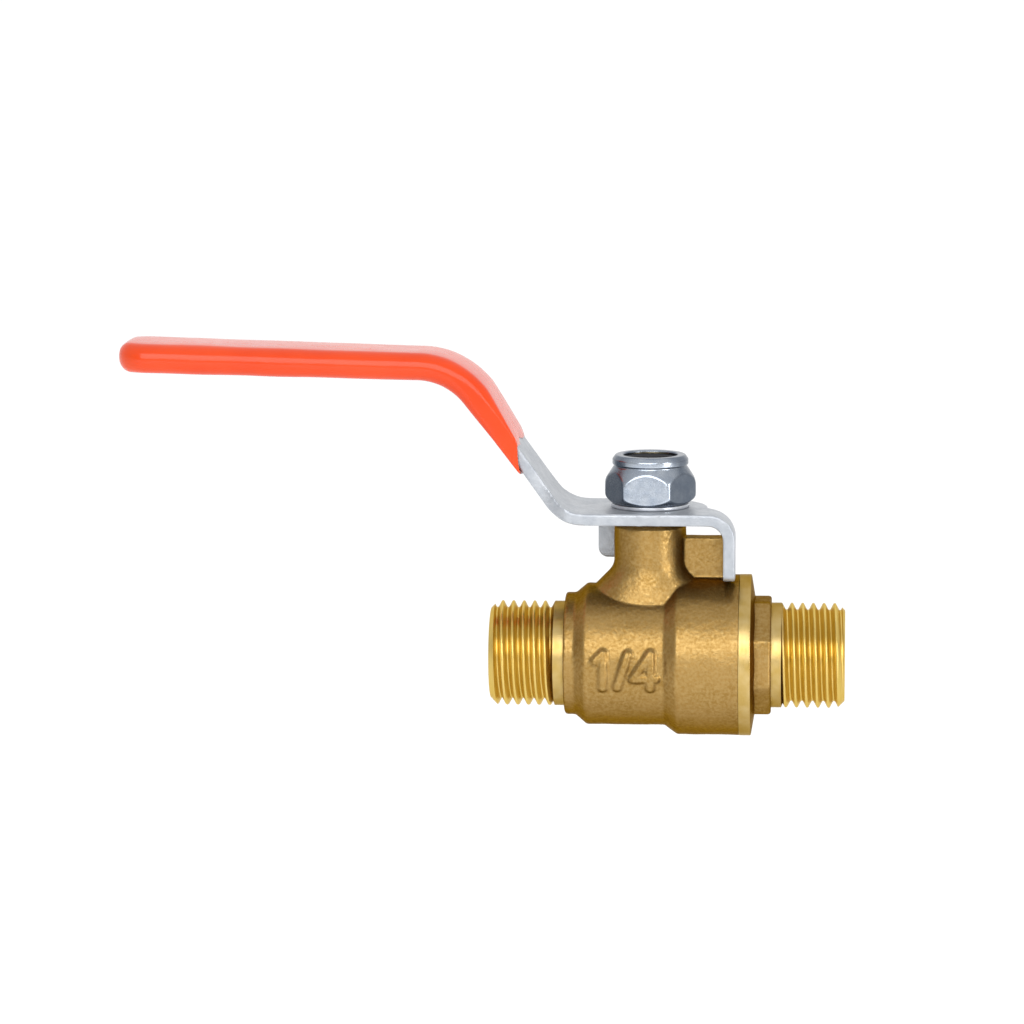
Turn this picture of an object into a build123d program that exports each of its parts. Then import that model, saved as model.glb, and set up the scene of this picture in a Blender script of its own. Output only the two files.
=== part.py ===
from build123d import *
from math import cos, pi, radians, sqrt, tan
import os

# Quarter-inch ball valve with two male pipe threads and a long stamped lever, shown open.
# Millimetres. The origin is the centre of the ball, where the pipe axis and the stem axis cross.
# +X runs along the pipe towards the screwed-in end connector, +Z runs up the stem, and the
# lever of the open valve points along -X.

# ---- driving dimensions ----------------------------------------------------------------------

# pipe thread G 1/4 (ISO 228), the same on both ends
THREAD_MAJOR_R = 13.157 / 2
THREAD_MINOR_R = 11.445 / 2
THREAD_PITCH = 1.337
THREAD_FLANK = 27.5             # half of the 55 degree thread angle
THREAD_END_CHAMFER = 0.9
THREAD_TURNS = 6.4
GROOVE_OVERSHOOT = 0.2          # how far the cutting profile stands out of the crests
GROOVE_LEAD = 0.6               # the groove starts this far outside the pipe's end

FLOW_R = 4.0                    # the full bore through body, ball and connector

# stations along the pipe axis
INLET_END = -20.0
COLLAR_START = -10.65
COLLAR_END = -9.3
BARREL_START = -7.9
STEP_START = 1.9
STEP_END = 3.5
BODY_FACE = 11.2                # the connector's flange seats here
FLANGE_END = 12.7
WRENCH_START = 13.2
WRENCH_END = 15.2
OUTLET_END = 24.4

# radii of the forging round the pipe axis
COLLAR_R = 7.75
BARREL_R = 8.95
CHAMBER_R = 10.12               # the larger barrel that holds the connector's thread
WRENCH_FLATS = 14.3             # octagon, across flats
BORE_EDGE_CHAMFER = 0.4
FORGING_RADII = [0.3, 0.6, 0.8, 0.5, 0.9, 0.1]  # of the outline's corners, collar to body face

# ball, seats and the chamber round them
BALL_R = 6.5
BALL_ROOM_R = 6.8
SEAT_OUTER_R = 6.3
SEAT_INNER_R = 4.1
SEAT_BACK = 7.0                 # distance of a seat's back face from the ball's centre
SEAT_FRONT = 3.7
SEAT_GAP = 0.02                 # between the ball and its seats
SPIGOT_R = 7.95                 # the connector's screw spigot, M16 x 1 in the real valve
SPIGOT_END = 3.6
FIT_GAP = 0.03                  # between faces that are pressed or screwed together

# neck and stop lug
NECK_R = 4.55
NECK_TOP = 16.75
NECK_FLARE_TOP = 11.3
NECK_FOOT = 7.4
NECK_FOOT_DEPTH_R = 5.4         # half the foot's size across the pipe
LUG_THICKNESS = 3.0
LUG_END = 10.2
LUG_TOP = 15.0
LUG_CORNER_R = 0.5
NECK_EDGE_R = 0.3

# stem, with a collar that keeps it from being blown out
STEM_R = 3.0
STEM_CLEARANCE = 0.05
STEM_COLLAR_R = 3.5
STEM_COLLAR_BOTTOM = 7.2
STEM_COLLAR_TOP = 8.4
STEM_TOP = 24.2
STEM_FLATS = 4.4                # across the two flats that drive the lever
TANG_THICKNESS = 2.9
TANG_WIDTH = 6.2
TANG_BOTTOM = 5.0
SLOT_WIDTH = 3.0
SLOT_FLOOR = 4.85
THRUST_WASHER_TOP = 9.0
O_RING_SECTION_R = 0.45
O_RING_HEIGHTS = {"lower": 11.0, "upper": 13.6}
O_RING_GROOVE_WIDTH = 1.2

# lever: one strip of steel, bent twice, with two stop tabs
SHEET = 1.5
LEVER_UNDERSIDE = 17.25
HUB_R = 7.2
HUB_HALF_WIDTH = 7.0
TAB_OUTER_X = 10.75
TAB_BOTTOM = 10.3
TAB_BEND_R = 3.4                # outside of the sheet
STOP_GAP = 0.1                  # between a tab's edge and the lug at either end of the turn
REAR_TAB_LEFT = -6.8
REAR_TAB_BOTTOM = 11.35
REAR_TAB_BEND_R = 1.9           # outside of the sheet
SLOPE_ANGLE = 54.5
SLOPE_TOE_X = -10.76            # where the hub's and the slope's middle lines cross
LOWER_BEND_R = 5.25             # middle line
UPPER_BEND_R = 9.7              # middle line
GRIP_KNEE_X = -24.21            # where the slope's and the grip's middle lines cross
GRIP_RISE = 1.0                 # degrees, the grip climbs slightly away from the stem
LEVER_TIP = -65.5
ARM_HALF_WIDTH = 5.5            # at the slope
GRIP_HALF_WIDTH = 4.7
SHOULDER_X = -10.3              # here the hub's width starts to narrow to the arm's
WAIST_X = -12.8
BLADE_X = -30.0                 # here the arm has narrowed to the grip's width
TIP_CORNER_R = 3.2
WAIST_R = 2.5
SHOULDER_R = 1.5
TAB_ROOT_R = 1.5
FRONT_TAB_CORNER_R = 1.0
REAR_TAB_CORNER_R = 1.2

# dipped vinyl grip
SLEEVE_TIP = -66.5
SLEEVE_MOUTH = -16.2
SLEEVE_HALF_WIDTH = 5.65
SLEEVE_MOUTH_HALF_WIDTH = 5.9
SLEEVE_TIP_WALL = 1.4
SLEEVE_KNEE_WALL = 1.3
SLEEVE_MOUTH_WALL = 0.35
SLEEVE_TIP_R = 1.8
SLEEVE_TIP_CORNER_R = 4.0       # seen from above

# washer and nut
WASHER_R = 4.9
WASHER_HOLE_R = 3.2
WASHER_THICKNESS = 0.5
NUT_FLATS = 10.0
NUT_HEIGHT = 6.1
NUT_HEX_HEIGHT = 4.6
NUT_TURN = -3.5                 # degrees, as the nut happens to stand
NUT_COLLAR_R = 4.75
NUT_MOUTH_R = 3.4
INSERT_OUTER_R = 4.1
INSERT_HEIGHT = 1.2
LIP_THICKNESS = 0.4
DOME_START = 3.2                # height above the washer where the corners start to round over
NUT_BASE_R = 4.7                # the corners are cut back to this at the foot, at 30 degrees
COLLAR_ROOT_R = 4.6
COLLAR_EDGE_R = 0.7

# ---- derived places --------------------------------------------------------------------------

hub_middle = LEVER_UNDERSIDE + SHEET / 2
hub_top = LEVER_UNDERSIDE + SHEET
washer_top = hub_top + WASHER_THICKNESS
nut_top = washer_top + NUT_HEIGHT
stem_bore_r = STEM_R + STEM_CLEARANCE
seat_pocket_r = SEAT_OUTER_R + FIT_GAP
knee_height = hub_middle + (SLOPE_TOE_X - GRIP_KNEE_X) * tan(radians(SLOPE_ANGLE))
tip_height = knee_height + (GRIP_KNEE_X - LEVER_TIP) * tan(radians(GRIP_RISE))


def pipe_profile(points):
    """Turn a closed outline, given as (station, radius) corners, round the pipe axis."""
    with BuildSketch(Plane.XZ) as outline:
        with BuildLine():
            Polyline(*points, close=True)
        make_face()
    revolve(outline.sketch, axis=Axis.X)


def cut_ring(start, end, radius):
    """Bore a round pocket along the pipe axis from start to end."""
    with BuildSketch(Plane.YZ.offset(start)) as section:
        Circle(radius)
    extrude(section.sketch, amount=end - start, mode=Mode.SUBTRACT)


def add_pipe_end(end, shoulder, turned):
    """Add a pipe end with a right-hand male thread, which points along -X, then turned about Z.

    end and shoulder are distances from the ball's centre. The groove starts on top of the pipe.
    """
    depth = THREAD_MAJOR_R - THREAD_MINOR_R + GROOVE_OVERSHOOT
    half_root = THREAD_PITCH / 12
    half_mouth = half_root + depth * tan(radians(THREAD_FLANK))
    with BuildPart(mode=Mode.PRIVATE) as pipe_end:
        pipe_profile([
            (-end, 0),
            (-end, THREAD_MAJOR_R - THREAD_END_CHAMFER),
            (-end + THREAD_END_CHAMFER, THREAD_MAJOR_R),
            (-shoulder, THREAD_MAJOR_R),
            (-shoulder, 0),
        ])
        with BuildLine() as spiral:
            Helix(
                pitch=THREAD_PITCH,
                height=THREAD_TURNS * THREAD_PITCH,
                radius=THREAD_MINOR_R,
                center=(-end - GROOVE_LEAD, 0, 0),
                direction=(1, 0, 0),
            )
        groove_start = Plane(origin=spiral.line @ 0, x_dir=(1, 0, 0), z_dir=spiral.line % 0)
        with BuildSketch(groove_start) as groove:
            with BuildLine():
                Polyline(
                    (-half_root, 0),
                    (half_root, 0),
                    (half_mouth, depth),
                    (-half_mouth, depth),
                    close=True,
                )
            make_face()
        sweep(groove.sketch, path=spiral.line, is_frenet=True, mode=Mode.SUBTRACT)
    add(pipe_end.part.rotate(Axis.Z, turned))


# ---- body: brass forging with the inlet thread, the neck and the stop lug -----------------------

with BuildPart() as body:
    add_pipe_end(-INLET_END, -COLLAR_START, 0)

    # collar, barrel and chamber, with the rounded steps of a forging
    with BuildSketch(Plane.XZ):
        with BuildLine():
            FilletPolyline(
                (COLLAR_START, 0),
                (COLLAR_START, COLLAR_R),
                (COLLAR_END, COLLAR_R),
                (BARREL_START, BARREL_R),
                (STEP_START, BARREL_R),
                (STEP_END, CHAMBER_R),
                (BODY_FACE, CHAMBER_R),
                (BODY_FACE, 0),
                radius=FORGING_RADII,
            )
            Line((BODY_FACE, 0), (COLLAR_START, 0))
        make_face()
    revolve(axis=Axis.X)

    # neck, spreading along the pipe into a foot
    with BuildSketch(Plane.XY.offset(NECK_FOOT)):
        Ellipse(NECK_R + NECK_FLARE_TOP - NECK_FOOT, NECK_FOOT_DEPTH_R)
    with BuildSketch(Plane.XY.offset(NECK_FLARE_TOP)):
        Circle(NECK_R)
    loft()
    with BuildSketch(Plane.XY.offset(NECK_FLARE_TOP)):
        Circle(NECK_R)
    extrude(amount=NECK_TOP - NECK_FLARE_TOP)
    fillet(body.edges().group_by(Axis.Z)[-1], NECK_EDGE_R)

    # stop lug on the chamber, joined to the neck
    with BuildSketch(Plane.XZ) as lug_side:
        with BuildLine():
            Polyline(
                (STEM_R, BARREL_R - 1),
                (LUG_END, BARREL_R - 1),
                (LUG_END, LUG_TOP),
                (STEM_R, LUG_TOP),
                close=True,
            )
        make_face()
        fillet(lug_side.vertices().group_by(Axis.X)[-1].group_by(Axis.Y)[-1], LUG_CORNER_R)
    extrude(amount=LUG_THICKNESS / 2, both=True)

    # flow bore, seat pocket, ball room and the connector's thread
    cut_ring(INLET_END, 0, FLOW_R)
    cut_ring(-SEAT_BACK, 0, seat_pocket_r)
    cut_ring(-SEAT_FRONT, BODY_FACE, BALL_ROOM_R)
    cut_ring(SPIGOT_END - FIT_GAP, BODY_FACE, SPIGOT_R + FIT_GAP)
    chamfer(body.edges().filter_by(GeomType.CIRCLE).group_by(Axis.X)[0].sort_by(Edge.radius)[0],
            BORE_EDGE_CHAMFER)

    # stem bore, with a wider room below for the stem's collar and thrust washer
    with BuildSketch(Plane.XY):
        Circle(stem_bore_r)
    extrude(amount=NECK_TOP, mode=Mode.SUBTRACT)
    with BuildSketch(Plane.XY):
        Circle(STEM_COLLAR_R + STEM_CLEARANCE)
    extrude(amount=THRUST_WASHER_TOP, mode=Mode.SUBTRACT)

# ---- end connector: flange, wrench octagon, outlet thread and screw spigot ----------------------

with BuildPart() as end_connector:
    pipe_profile([
        (SPIGOT_END, 0),
        (SPIGOT_END, SPIGOT_R),
        (BODY_FACE, SPIGOT_R),
        (BODY_FACE, CHAMBER_R),
        (FLANGE_END, CHAMBER_R),
        (WRENCH_START, WRENCH_FLATS / 2),
        (WRENCH_START, 0),
    ])
    with BuildSketch(Plane.YZ.offset(FLANGE_END)):
        RegularPolygon(WRENCH_FLATS / 2, side_count=8, major_radius=False, rotation=180 / 8)
    extrude(amount=WRENCH_END - FLANGE_END)
    add_pipe_end(OUTLET_END, WRENCH_START, 180)
    cut_ring(SPIGOT_END, OUTLET_END, FLOW_R)
    cut_ring(SPIGOT_END, SEAT_BACK, seat_pocket_r)
    chamfer(end_connector.edges().filter_by(GeomType.CIRCLE).group_by(Axis.X)[-1]
            .sort_by(Edge.radius)[0], BORE_EDGE_CHAMFER)

# ---- ball, with its flow bore and the slot that the stem turns it by ----------------------------

with BuildPart() as ball:
    Sphere(BALL_R)
    with BuildSketch(Plane.YZ):
        Circle(FLOW_R)
    extrude(amount=BALL_R, both=True, mode=Mode.SUBTRACT)
    with BuildSketch(Plane.XY.offset(SLOT_FLOOR)):
        Rectangle(SLOT_WIDTH, 2 * BALL_R)
    extrude(amount=BALL_R, mode=Mode.SUBTRACT)

# ---- seats: soft rings that the ball turns between ----------------------------------------------

with BuildPart() as seat_inlet:
    pipe_profile([
        (-SEAT_BACK, SEAT_INNER_R),
        (-SEAT_BACK, SEAT_OUTER_R),
        (-SEAT_FRONT, SEAT_OUTER_R),
        (-SEAT_FRONT, SEAT_INNER_R),
    ])
    Sphere(BALL_R + SEAT_GAP, mode=Mode.SUBTRACT)

with BuildPart() as seat_outlet:
    add(seat_inlet.part.mirror(Plane.YZ))

# ---- stem -------------------------------------------------------------------------------------

with BuildPart() as stem:
    # tang that sits in the ball's slot
    with BuildSketch(Plane.XY.offset(TANG_BOTTOM)):
        Rectangle(TANG_THICKNESS, TANG_WIDTH)
    extrude(amount=STEM_COLLAR_BOTTOM - TANG_BOTTOM)
    # collar, shaft and threaded end
    with BuildSketch(Plane.XY.offset(STEM_COLLAR_BOTTOM)):
        Circle(STEM_COLLAR_R)
    extrude(amount=STEM_COLLAR_TOP - STEM_COLLAR_BOTTOM)
    with BuildSketch(Plane.XY.offset(STEM_COLLAR_TOP)):
        Circle(STEM_R)
    extrude(amount=STEM_TOP - STEM_COLLAR_TOP)
    chamfer(stem.edges().group_by(Axis.Z)[-1], 0.4)
    # two flats from the lever's underside to the top
    with BuildSketch(Plane.XY.offset(LEVER_UNDERSIDE)):
        with Locations((0, STEM_R + STEM_FLATS / 2), (0, -STEM_R - STEM_FLATS / 2)):
            Rectangle(2.2 * STEM_R, 2 * STEM_R)
    extrude(amount=STEM_TOP, mode=Mode.SUBTRACT)
    # grooves for the two O-rings
    for height in O_RING_HEIGHTS.values():
        with BuildSketch(Plane.XY.offset(height - O_RING_GROOVE_WIDTH / 2)):
            Circle(STEM_R + 1)
            Circle(STEM_R - 2 * O_RING_SECTION_R + STEM_CLEARANCE, mode=Mode.SUBTRACT)
        extrude(amount=O_RING_GROOVE_WIDTH, mode=Mode.SUBTRACT)

with BuildPart() as thrust_washer:
    with BuildSketch(Plane.XY.offset(STEM_COLLAR_TOP)):
        Circle(STEM_COLLAR_R)
        Circle(stem_bore_r, mode=Mode.SUBTRACT)
    extrude(amount=THRUST_WASHER_TOP - STEM_COLLAR_TOP - FIT_GAP)

o_rings = {}
for place, height in O_RING_HEIGHTS.items():
    with BuildPart() as ring:
        with BuildSketch(Plane.XZ):
            with Locations((stem_bore_r - O_RING_SECTION_R, height)):
                Circle(O_RING_SECTION_R - FIT_GAP)
        revolve(axis=Axis.Z)
    o_rings[place] = ring

# ---- lever: hub, lower bend, slope, upper bend and grip blade, with two stop tabs ----------------


# seen from above: a round hub, a tab at its front right, and a long arm that narrows to a blade
tab_edge = -LUG_THICKNESS / 2 - STOP_GAP
tab_root_x = sqrt(HUB_R**2 - tab_edge**2)
with BuildSketch() as lever_plan:
    Circle(HUB_R)
    with BuildLine():
        Polyline(
            (0, HUB_HALF_WIDTH),
            (SHOULDER_X, HUB_HALF_WIDTH),
            (WAIST_X, ARM_HALF_WIDTH),
            (BLADE_X, GRIP_HALF_WIDTH),
            (LEVER_TIP, GRIP_HALF_WIDTH),
            (LEVER_TIP, -GRIP_HALF_WIDTH),
            (BLADE_X, -GRIP_HALF_WIDTH),
            (WAIST_X, -ARM_HALF_WIDTH),
            (SHOULDER_X, -HUB_HALF_WIDTH),
            (TAB_OUTER_X + 1, -HUB_HALF_WIDTH),
            (TAB_OUTER_X + 1, tab_edge),
            (0, tab_edge),
            close=True,
        )
    make_face()
    for corner_x, corner_r in (
        (LEVER_TIP, TIP_CORNER_R),
        (WAIST_X, WAIST_R),
        (SHOULDER_X, SHOULDER_R),
        (tab_root_x, TAB_ROOT_R),
    ):
        fillet(lever_plan.vertices().filter_by(lambda v: abs(v.X - corner_x) < 0.01), corner_r)

with BuildPart() as lever:
    # the bent strip, as wide as the hub all along
    with BuildLine(Plane.XZ) as strip_line:
        FilletPolyline(
            (TAB_OUTER_X - SHEET / 2, TAB_BOTTOM),
            (TAB_OUTER_X - SHEET / 2, hub_middle),
            (SLOPE_TOE_X, hub_middle),
            (GRIP_KNEE_X, knee_height),
            (LEVER_TIP, tip_height),
            radius=[TAB_BEND_R - SHEET / 2, LOWER_BEND_R, UPPER_BEND_R],
        )
    with BuildSketch(Plane.XY.offset(TAB_BOTTOM)):
        with Locations((TAB_OUTER_X - SHEET / 2, 0)):
            Rectangle(SHEET, 2.2 * HUB_R)
    sweep(path=strip_line.line)
    # trimmed to its plan outline
    extrude(lever_plan.sketch, amount=tip_height + SHEET, mode=Mode.INTERSECT)
    # rear stop tab, bent down from the far edge
    tab_inner = HUB_HALF_WIDTH - SHEET
    with BuildSketch(Plane.YZ.offset(REAR_TAB_LEFT)):
        with BuildLine():
            FilletPolyline(
                (stem_bore_r, hub_top),
                (HUB_HALF_WIDTH, hub_top),
                (HUB_HALF_WIDTH, REAR_TAB_BOTTOM),
                radius=REAR_TAB_BEND_R,
            )
            Line((HUB_HALF_WIDTH, REAR_TAB_BOTTOM), (tab_inner, REAR_TAB_BOTTOM))
            FilletPolyline(
                (tab_inner, REAR_TAB_BOTTOM),
                (tab_inner, LEVER_UNDERSIDE),
                (stem_bore_r, LEVER_UNDERSIDE),
                radius=REAR_TAB_BEND_R - SHEET,
            )
            Line((stem_bore_r, LEVER_UNDERSIDE), (stem_bore_r, hub_top))
        make_face()
    extrude(amount=tab_edge - REAR_TAB_LEFT)
    # rounded lower corners of both tabs
    tab_foot = lever.edges().filter_by(Axis.Y).filter_by(
        lambda e: abs(e.center().Z - REAR_TAB_BOTTOM) < 0.01)
    fillet(tab_foot, REAR_TAB_CORNER_R)
    front_foot = lever.edges().filter_by(Axis.X).group_by(Axis.Z)[0]
    fillet(front_foot, FRONT_TAB_CORNER_R)
    # double-D hole that the stem drives
    with BuildSketch(Plane.XY.offset(LEVER_UNDERSIDE - 1)):
        Circle(stem_bore_r)
        Rectangle(2.2 * STEM_R, STEM_FLATS + 2 * STEM_CLEARANCE, mode=Mode.INTERSECT)
    extrude(amount=SHEET + 2, mode=Mode.SUBTRACT)

# ---- grip sleeve: vinyl coat over the blade, thicker towards the tip ----------------------------

slope_rise = tan(radians(SLOPE_ANGLE))
wall_over_slope = 1 / cos(radians(SLOPE_ANGLE))
mouth_middle = hub_middle + (SLOPE_TOE_X - SLEEVE_MOUTH) * slope_rise
mouth_half = (SHEET / 2 + SLEEVE_MOUTH_WALL) * wall_over_slope
tip_half = SHEET / 2 + SLEEVE_TIP_WALL
knee_half = SHEET / 2 + SLEEVE_KNEE_WALL
knee_shift = knee_half * tan(radians(SLOPE_ANGLE - GRIP_RISE) / 2)

with BuildPart() as grip_sleeve:
    with BuildSketch(Plane.XZ):
        with BuildLine():
            FilletPolyline(
                (SLEEVE_MOUTH, mouth_middle + mouth_half),
                (GRIP_KNEE_X + knee_shift, knee_height + knee_half),
                (SLEEVE_TIP, tip_height + tip_half),
                (SLEEVE_TIP, tip_height - tip_half),
                (GRIP_KNEE_X - knee_shift, knee_height - knee_half),
                (SLEEVE_MOUTH, mouth_middle - mouth_half),
                radius=[UPPER_BEND_R + knee_half, SLEEVE_TIP_R, SLEEVE_TIP_R,
                        UPPER_BEND_R - knee_half],
            )
            Line((SLEEVE_MOUTH, mouth_middle - mouth_half), (SLEEVE_MOUTH, mouth_middle + mouth_half))
        make_face()
    extrude(amount=SLEEVE_MOUTH_HALF_WIDTH, both=True)
    with BuildSketch() as sleeve_top:
        with BuildLine():
            Polyline(
                (SLEEVE_MOUTH + 1, SLEEVE_MOUTH_HALF_WIDTH),
                (GRIP_KNEE_X, SLEEVE_HALF_WIDTH),
                (SLEEVE_TIP, SLEEVE_HALF_WIDTH),
                (SLEEVE_TIP, -SLEEVE_HALF_WIDTH),
                (GRIP_KNEE_X, -SLEEVE_HALF_WIDTH),
                (SLEEVE_MOUTH + 1, -SLEEVE_MOUTH_HALF_WIDTH),
                close=True,
            )
        make_face()
        fillet(sleeve_top.vertices().group_by(Axis.X)[0], SLEEVE_TIP_CORNER_R)
    extrude(amount=tip_height + 10, mode=Mode.INTERSECT)
    add(lever.part, mode=Mode.SUBTRACT)

# ---- washer, nut and its locking insert -----------------------------------------------------------

with BuildPart() as lever_washer:
    with BuildSketch(Plane.XY.offset(hub_top)):
        Circle(WASHER_R)
        Circle(WASHER_HOLE_R, mode=Mode.SUBTRACT)
    extrude(amount=WASHER_THICKNESS)

with BuildPart() as lock_nut:
    corner_r = NUT_FLATS / 2 / cos(pi / 6)
    with BuildSketch(Plane.XY.offset(washer_top)):
        RegularPolygon(NUT_FLATS / 2, side_count=6, major_radius=False, rotation=NUT_TURN)
    extrude(amount=NUT_HEX_HEIGHT)
    # a chamfer below and a dome above take the hexagon's corners off
    dome_start = washer_top + DOME_START
    dome_end = washer_top + NUT_HEX_HEIGHT
    with BuildSketch(Plane.XZ):
        with BuildLine():
            Polyline(
                (0, dome_end),
                (0, washer_top),
                (NUT_BASE_R, washer_top),
                (corner_r, washer_top + (corner_r - NUT_BASE_R) * tan(pi / 6)),
                (corner_r, dome_start),
            )
            TangentArc((corner_r, dome_start), (COLLAR_ROOT_R, dome_end), tangent=(0, 1))
            Line((COLLAR_ROOT_R, dome_end), (0, dome_end))
        make_face()
    revolve(axis=Axis.Z, mode=Mode.INTERSECT)
    # crimped collar
    with BuildSketch(Plane.XY.offset(dome_end)):
        Circle(NUT_COLLAR_R)
    extrude(amount=nut_top - dome_end)
    fillet(lock_nut.edges().group_by(Axis.Z)[-1], COLLAR_EDGE_R)
    # thread, room for the insert, and the mouth of the collar
    with BuildSketch(Plane.XY.offset(washer_top)):
        Circle(stem_bore_r)
    extrude(amount=NUT_HEIGHT, mode=Mode.SUBTRACT)
    with BuildSketch(Plane.XY.offset(nut_top - LIP_THICKNESS - INSERT_HEIGHT)):
        Circle(INSERT_OUTER_R)
    extrude(amount=INSERT_HEIGHT, mode=Mode.SUBTRACT)
    with BuildSketch(Plane.XY.offset(nut_top - LIP_THICKNESS)):
        Circle(NUT_MOUTH_R)
    extrude(amount=LIP_THICKNESS, mode=Mode.SUBTRACT)

with BuildPart() as lock_nut_insert:
    with BuildSketch(Plane.XY.offset(nut_top - LIP_THICKNESS - INSERT_HEIGHT + FIT_GAP)):
        Circle(INSERT_OUTER_R - FIT_GAP)
        Circle(stem_bore_r, mode=Mode.SUBTRACT)
    extrude(amount=INSERT_HEIGHT - 2 * FIT_GAP)

# ---- output -------------------------------------------------------------------------------------

pieces = {
    "body": body,
    "end_connector": end_connector,
    "ball": ball,
    "seat_inlet": seat_inlet,
    "seat_outlet": seat_outlet,
    "stem": stem,
    "thrust_washer": thrust_washer,
    "stem_o_ring_lower": o_rings["lower"],
    "stem_o_ring_upper": o_rings["upper"],
    "lever": lever,
    "grip_sleeve": grip_sleeve,
    "lever_washer": lever_washer,
    "lock_nut": lock_nut,
    "lock_nut_insert": lock_nut_insert,
}

os.makedirs("parts", exist_ok=True)
for name, piece in pieces.items():
    piece.part.label = name
    export_step(piece.part, f"parts/{name}.step")
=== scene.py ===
from math import asin, ceil, cos, pi, radians, sin, sqrt, tan

import bmesh
import bpy
import numpy as np
from mathutils import Matrix, Vector, noise


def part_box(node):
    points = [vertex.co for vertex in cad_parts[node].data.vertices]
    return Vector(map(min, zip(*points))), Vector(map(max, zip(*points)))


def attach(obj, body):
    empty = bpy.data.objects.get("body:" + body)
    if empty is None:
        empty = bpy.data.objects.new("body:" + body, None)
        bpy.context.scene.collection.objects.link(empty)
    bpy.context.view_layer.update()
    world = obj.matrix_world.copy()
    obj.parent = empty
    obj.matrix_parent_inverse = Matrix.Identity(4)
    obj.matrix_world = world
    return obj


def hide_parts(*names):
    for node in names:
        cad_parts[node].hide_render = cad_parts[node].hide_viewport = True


# The visual model of the quarter-inch ball valve. Shapes are made in millimetres, in the frame's
# axes: +X along the pipe towards the end connector, +Z up the stem, origin at the ball's centre.
# Each finished mesh is scaled to metres.

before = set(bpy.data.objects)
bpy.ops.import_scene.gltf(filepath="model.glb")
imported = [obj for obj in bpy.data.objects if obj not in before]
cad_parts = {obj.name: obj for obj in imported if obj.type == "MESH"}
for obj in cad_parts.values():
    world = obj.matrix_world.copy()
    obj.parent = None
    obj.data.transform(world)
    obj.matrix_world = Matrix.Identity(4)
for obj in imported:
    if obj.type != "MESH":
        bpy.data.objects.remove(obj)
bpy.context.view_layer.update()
MM = 0.001


def corners_mm(node):
    """Lowest and highest corner of a CAD node, in millimetres."""
    low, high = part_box(node)
    return low / MM, high / MM


# ---- sizes taken from the frame ------------------------------------------------------------------

body_low, body_high = corners_mm("body")
connector_low, connector_high = corners_mm("end_connector")
washer_low, washer_high = corners_mm("lever_washer")
nut_low, nut_high = corners_mm("lock_nut")
sleeve_low, sleeve_high = corners_mm("grip_sleeve")
lever_low, lever_high = corners_mm("lever")
ball_low, ball_high = corners_mm("ball")

INLET_END = body_low.x
BODY_FACE = body_high.x
CHAMBER_R = body_high.y
NECK_TOP = body_high.z
SPIGOT_END = connector_low.x
OUTLET_END = connector_high.x
HUB_TOP = washer_low.z
WASHER_R = washer_high.x
WASHER_TOP = washer_high.z
NUT_TOP = nut_high.z
SLEEVE_TIP = sleeve_low.x
SLEEVE_MOUTH = sleeve_high.x
LEVER_TIP = lever_low.x
BALL_R = ball_high.y

# ---- sizes named here: the CAD model's, and a few that only the looks need -----------------------

THREAD_MAJOR_R = 13.157 / 2
THREAD_MINOR_R = 11.445 / 2
THREAD_PITCH = 1.337
THREAD_ROUNDING = 0.137 * THREAD_PITCH   # of crest and root, as in a Whitworth form
THREAD_END_CHAMFER = 0.9
SHANK_SPARE = 0.2               # extra radius that keeps the helix off the plain length
THREAD_RUN_OUT = 1.6            # plain length between the thread and its shoulder
RUN_OUT_CONE = 0.4              # part of it in which the thread rises to the shank
INLET_CREST, OUTLET_CREST = -15.87, 20.46   # where a crest crosses the top of the pipe
FLOW_R = 4.0
BORE_CHAMFER = 0.4
COLLAR_START, COLLAR_END, COLLAR_R = -10.65, -9.3, 7.75
BARREL_START, BARREL_R = -7.9, 8.95
STEP_START, STEP_END = 1.9, 3.5
FLANGE_END, WRENCH_START, WRENCH_END = 12.7, 13.2, 15.2
WRENCH_FLATS = 14.3
BALL_ROOM_R, SEAT_ROOM_R, SEAT_BACK, SEAT_FRONT = 6.8, 6.33, 7.0, 3.7
SPIGOT_R = 7.95
FIT_GAP = 0.03
NECK_R, NECK_FLARE_TOP, NECK_FOOT, NECK_FOOT_DEPTH_R = 4.55, 11.3, 7.4, 5.4
NECK_CHAMFER = 0.45
FLARE_BLEND = 0.8               # height over which the flare turns into the straight neck
LUG_THICKNESS, LUG_END, LUG_TOP = 3.0, 10.2, 15.0
STEM_BORE_R, COLLAR_ROOM_R, COLLAR_ROOM_TOP = 3.05, 3.55, 9.0
SHEET = 1.5
SLOT_WIDTH, SLOT_FLOOR = 3.0, 4.85

ROUND = 192                     # facets round a turned surface


# ---- mesh helpers --------------------------------------------------------------------------------


def new_object(name, points, faces):
    """A mesh object with its normals turned outwards."""
    mesh = bpy.data.meshes.new(name)
    mesh.from_pydata([tuple(p) for p in points], [], [tuple(f) for f in faces])
    work = bmesh.new()
    work.from_mesh(mesh)
    bmesh.ops.recalc_face_normals(work, faces=work.faces)
    work.to_mesh(mesh)
    work.free()
    obj = bpy.data.objects.new(name, mesh)
    bpy.context.scene.collection.objects.link(obj)
    return obj


def along_x(station, radius, angle):
    """A point round the pipe axis. Angle 0 is on top, and a quarter turn is on the near side."""
    return (station, -radius * sin(angle), radius * cos(angle))


def along_z(station, radius, angle):
    """A point round the stem axis. Angle 0 is on the +X side."""
    return (radius * cos(angle), radius * sin(angle), station)


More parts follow.
